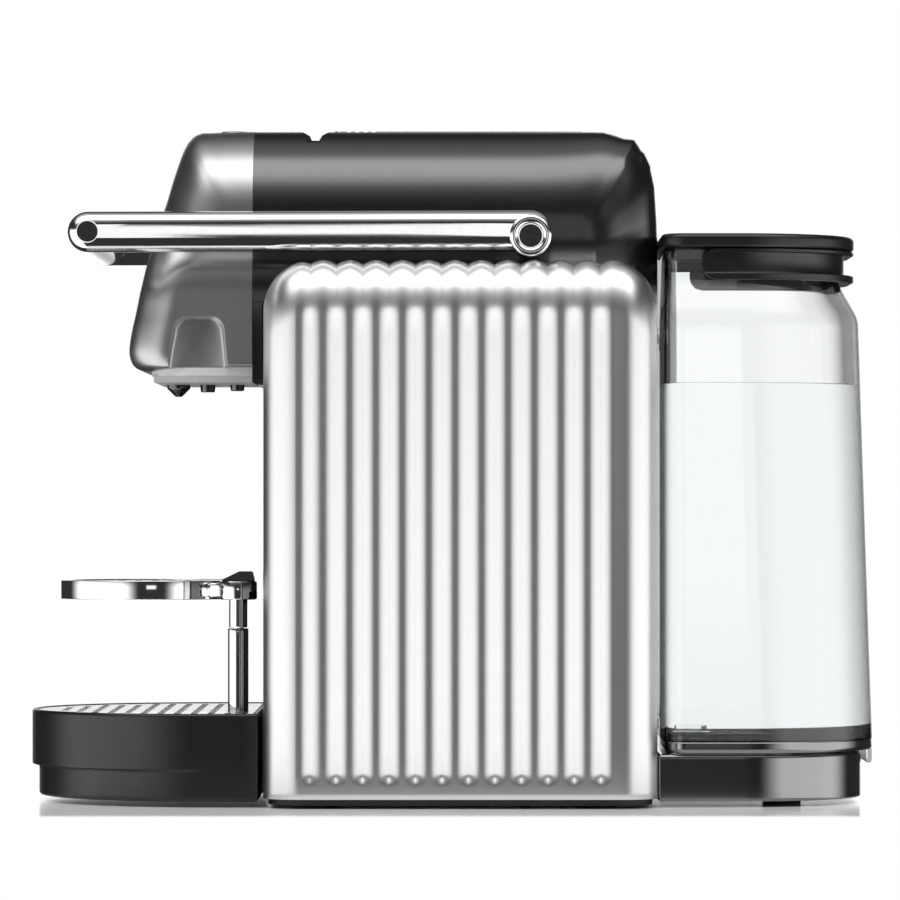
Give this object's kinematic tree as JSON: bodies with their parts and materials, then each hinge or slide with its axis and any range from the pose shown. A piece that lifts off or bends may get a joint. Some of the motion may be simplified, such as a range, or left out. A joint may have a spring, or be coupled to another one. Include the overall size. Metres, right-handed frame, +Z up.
{
  "type": "pod coffee machine",
  "caption": "Compact pod coffee machine with ribbed silver side panels, a chrome lever, drip tray, swivelling cup support and a lift-off rear water tank.",
  "frame": {"origin": "centre of the bounding box's bottom face, at the level of the feet", "axes": "+Z up, -Y is the front with the outlets, +X is the side with the cup support post"},
  "size_m": [0.202, 0.4048, 0.3226],
  "materials": {
    "silver_panel": "satin",
    "silver_nose": "satin",
    "black_satin": "satin",
    "black_matte": "matte",
    "black_gloss": "gloss",
    "chrome": "polished",
    "steel": "brushed",
    "steel_dark": "satin",
    "grid_steel": "brushed",
    "aluminium": "cast",
    "rubber": "matte",
    "inner_plastic": "matte",
    "white_plastic": "satin",
    "hose": "satin",
    "board": "satin",
    "button_grey": "satin",
    "clear_plastic": "clear"
  },
  "bodies": {
    "chassis": {"base_plate": "black_matte", "rubber_feet": "rubber", "front_column": "black_satin", "inner_frame_right": "inner_plastic", "inner_frame_left": "inner_plastic", "pump_shelf": "inner_plastic", "rear_cover": "black_matte", "cover_screws": "steel", "side_panel_right": "silver_panel", "side_panel_left": "silver_panel", "nose_shell": "silver_nose", "top_cover": "black_satin", "outlet_plate": "white_plastic", "coffee_outlet": "steel_dark", "hot_water_outlet": "steel_dark", "steam_outlet": "steel_dark", "brew_plate_right": "steel", "brew_plate_left": "steel", "brew_front_bracket": "steel", "extraction_plate": "steel", "capsule_chute": "inner_plastic", "coffee_duct": "inner_plastic", "pump": "steel", "pump_mounts": "rubber", "flow_meter": "inner_plastic", "suction_hose": "hose", "pressure_hose": "hose", "thermoblock": "aluminium", "control_board": "board", "button_board": "board", "tank_pedestal": "black_gloss", "tank_seat_seal": "rubber", "cord_gland": "black_matte", "switch_housing": "black_matte"},
    "lever": {"pivot_shaft": "steel", "crank_arms": "steel", "lever_arm_right": "chrome", "lever_arm_left": "chrome", "lever_bar": "chrome", "pivot_rings": "chrome", "lever_screws": "steel_dark"},
    "capsule_cage": {"capsule_cage": "steel"},
    "capsule_door": {"capsule_door": "black_satin"},
    "button_left": {"button_left": "button_grey"},
    "button_middle": {"button_middle": "button_grey"},
    "button_right": {"button_right": "button_grey"},
    "power_rocker": {"power_rocker": "black_gloss"},
    "drip_tray": {"drip_tray": "black_satin", "post_lower": "chrome", "capsule_container": "black_matte"},
    "drip_grid": {"drip_grid": "grid_steel"},
    "cup_support": {"post_upper": "chrome", "cup_support_ring": "chrome", "cup_support_plate": "grid_steel", "cup_support_tab": "black_satin"},
    "water_tank": {"water_tank": "clear_plastic", "tank_grip": "black_matte", "tank_valve_body": "inner_plastic"},
    "tank_lid": {"tank_lid": "black_matte"},
    "tank_valve": {"tank_valve_poppet": "inner_plastic"}
  },
  "joints": [
    {"name": "lever_hinge", "type": "hinge", "parent": "chassis", "child": "lever", "pos_m": [0, 0.0376, 0.269], "axis": [-1, 0, 0], "range_deg": [0, 95]},
    {"name": "cage_slide", "type": "slide", "parent": "chassis", "child": "capsule_cage", "axis": [0, 1, 0], "range_m": [0, 0.0297]},
    {"name": "door_slide", "type": "slide", "parent": "chassis", "child": "capsule_door", "axis": [0, 1, 0], "range_m": [0, 0.0323]},
    {"name": "button_left_press", "type": "slide", "parent": "chassis", "child": "button_left", "axis": [0, 0, -1], "range_m": [0, 0.0012], "stiffness_N_per_m": 400, "springref_m": -0.001},
    {"name": "button_middle_press", "type": "slide", "parent": "chassis", "child": "button_middle", "axis": [0, 0, -1], "range_m": [0, 0.0012], "stiffness_N_per_m": 400, "springref_m": -0.001},
    {"name": "button_right_press", "type": "slide", "parent": "chassis", "child": "button_right", "axis": [0, 0, -1], "range_m": [0, 0.0012], "stiffness_N_per_m": 400, "springref_m": -0.001},
    {"name": "power_rocker_tilt", "type": "hinge", "parent": "chassis", "child": "power_rocker", "pos_m": [-0.0782, 0.122, 0.0135], "axis": [0, 0, 1], "range_deg": [-8, 8]},
    {"name": "tray_slide", "type": "slide", "parent": "chassis", "child": "drip_tray", "axis": [0, -1, 0], "range_m": [0, 0.16]},
    {"name": "grid_lift", "type": "slide", "parent": "drip_tray", "child": "drip_grid", "axis": [0, 0, 1], "range_m": [0, 0.03]},
    {"name": "cup_support_swivel", "type": "hinge", "parent": "drip_tray", "child": "cup_support", "pos_m": [0.0385, -0.1016, 0.09], "axis": [0, 0, 1], "range_deg": [0, 90]},
    {"name": "tank_lift", "type": "slide", "parent": "chassis", "child": "water_tank", "axis": [0, 0, 1], "range_m": [0, 0.15]},
    {"name": "lid_lift", "type": "slide", "parent": "water_tank", "child": "tank_lid", "axis": [0, 0, 1], "range_m": [0, 0.04]},
    {"name": "valve_lift", "type": "slide", "parent": "water_tank", "child": "tank_valve", "axis": [0, 0, 1], "range_m": [0, 0.003], "stiffness_N_per_m": 60, "springref_m": -0.002}
  ],
  "couplings": [
    {"joint": "cage_slide", "follows": "lever_hinge", "m_per_rad": 0.017792},
    {"joint": "door_slide", "follows": "lever_hinge", "m_per_rad": 0.0193}
  ]
}
